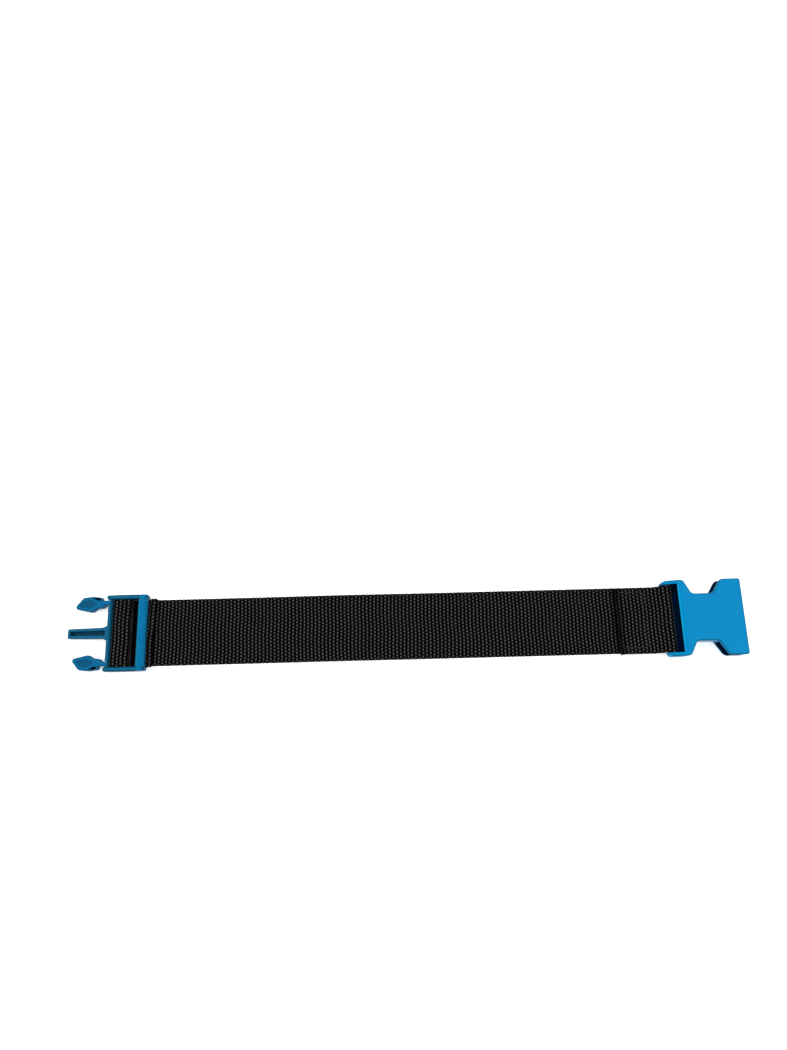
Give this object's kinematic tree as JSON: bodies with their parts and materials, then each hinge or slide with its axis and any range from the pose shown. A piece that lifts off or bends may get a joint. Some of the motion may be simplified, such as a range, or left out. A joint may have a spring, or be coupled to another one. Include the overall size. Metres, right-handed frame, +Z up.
{
  "type": "luggage strap",
  "caption": "Flat woven luggage strap with a side-release buckle: an adjustable male half with two sprung latch arms, and a female half in a sewn webbing loop.",
  "frame": {"origin": "middle of the laid-out strap's bounding box, on the surface it lies on", "axes": "+X along the strap from the male half to the female half, +Z up from the surface, +Y across"},
  "size_m": [0.5064, 0.0574, 0.0128],
  "materials": {
    "blue_acetal": "satin moulded acetal, bright blue",
    "black_webbing": "woven polypropylene, slightly glossy yarn",
    "black_thread": "twisted polyester thread"
  },
  "bodies": {
    "webbing_middle": {"webbing_run_middle": "black_webbing"},
    "webbing_left": {"webbing_run_left": "black_webbing"},
    "adjuster_strand": {"webbing_adjuster_end": "black_webbing"},
    "webbing_right": {"webbing_run_right": "black_webbing"},
    "sewn_end": {"webbing_sewn_loop": "black_webbing", "sewn_end_stitching": "black_thread"},
    "male_half": {"male_frame": "blue_acetal", "webbing_adjuster_wrap": "black_webbing"},
    "tail": {"webbing_tail": "black_webbing", "tail_hem_stitching": "black_thread"},
    "left_arm": {"latch_arm_left": "blue_acetal"},
    "right_arm": {"latch_arm_right": "blue_acetal"},
    "female_half": {"female_housing": "blue_acetal"}
  },
  "joints": [
    {"name": "strap_bend_right_inner", "type": "hinge", "parent": "webbing_middle", "child": "webbing_right", "pos_m": [0.07, 0, 0.0015], "axis": [0, -1, 0], "range_deg": [0, 35]},
    {"name": "strap_bend_right_outer", "type": "hinge", "parent": "webbing_right", "child": "sewn_end", "pos_m": [0.145, 0, 0.0015], "axis": [0, -1, 0], "range_deg": [0, 35]},
    {"name": "strap_bend_left_inner", "type": "hinge", "parent": "webbing_middle", "child": "webbing_left", "pos_m": [-0.005, 0, 0.0015], "axis": [0, 1, 0], "range_deg": [0, 35]},
    {"name": "strap_bend_left_outer", "type": "hinge", "parent": "webbing_left", "child": "adjuster_strand", "pos_m": [-0.08, 0, 0.0015], "axis": [0, 1, 0], "range_deg": [0, 35]},
    {"name": "adjust_slide", "type": "slide", "parent": "adjuster_strand", "child": "male_half", "axis": [1, 0, 0], "range_m": [0, 0.04]},
    {"name": "tail_feed", "type": "slide", "parent": "male_half", "child": "tail", "axis": [1, 0, 0], "range_m": [0, 0.04]},
    {"name": "left_arm_flex", "type": "hinge", "parent": "male_half", "child": "left_arm", "pos_m": [-0.2243, -0.0229, 0.0046], "axis": [0, 0, -1], "range_deg": [0, 10], "stiffness_Nm_per_rad": 0.6},
    {"name": "right_arm_flex", "type": "hinge", "parent": "male_half", "child": "right_arm", "pos_m": [-0.2243, 0.0229, 0.0046], "axis": [0, 0, 1], "range_deg": [0, 10], "stiffness_Nm_per_rad": 0.6},
    {"name": "female_swing", "type": "hinge", "parent": "sewn_end", "child": "female_half", "pos_m": [0.1992, 0, 0.0046], "axis": [0, -1, 0], "range_deg": [0, 120]}
  ],
  "couplings": [
    {"joint": "strap_bend_right_outer", "follows": "strap_bend_right_inner", "ratio": 1},
    {"joint": "strap_bend_left_inner", "follows": "strap_bend_right_inner", "ratio": 1},
    {"joint": "strap_bend_left_outer", "follows": "strap_bend_right_inner", "ratio": 1},
    {"joint": "tail_feed", "follows": "adjust_slide", "ratio": 1}
  ]
}
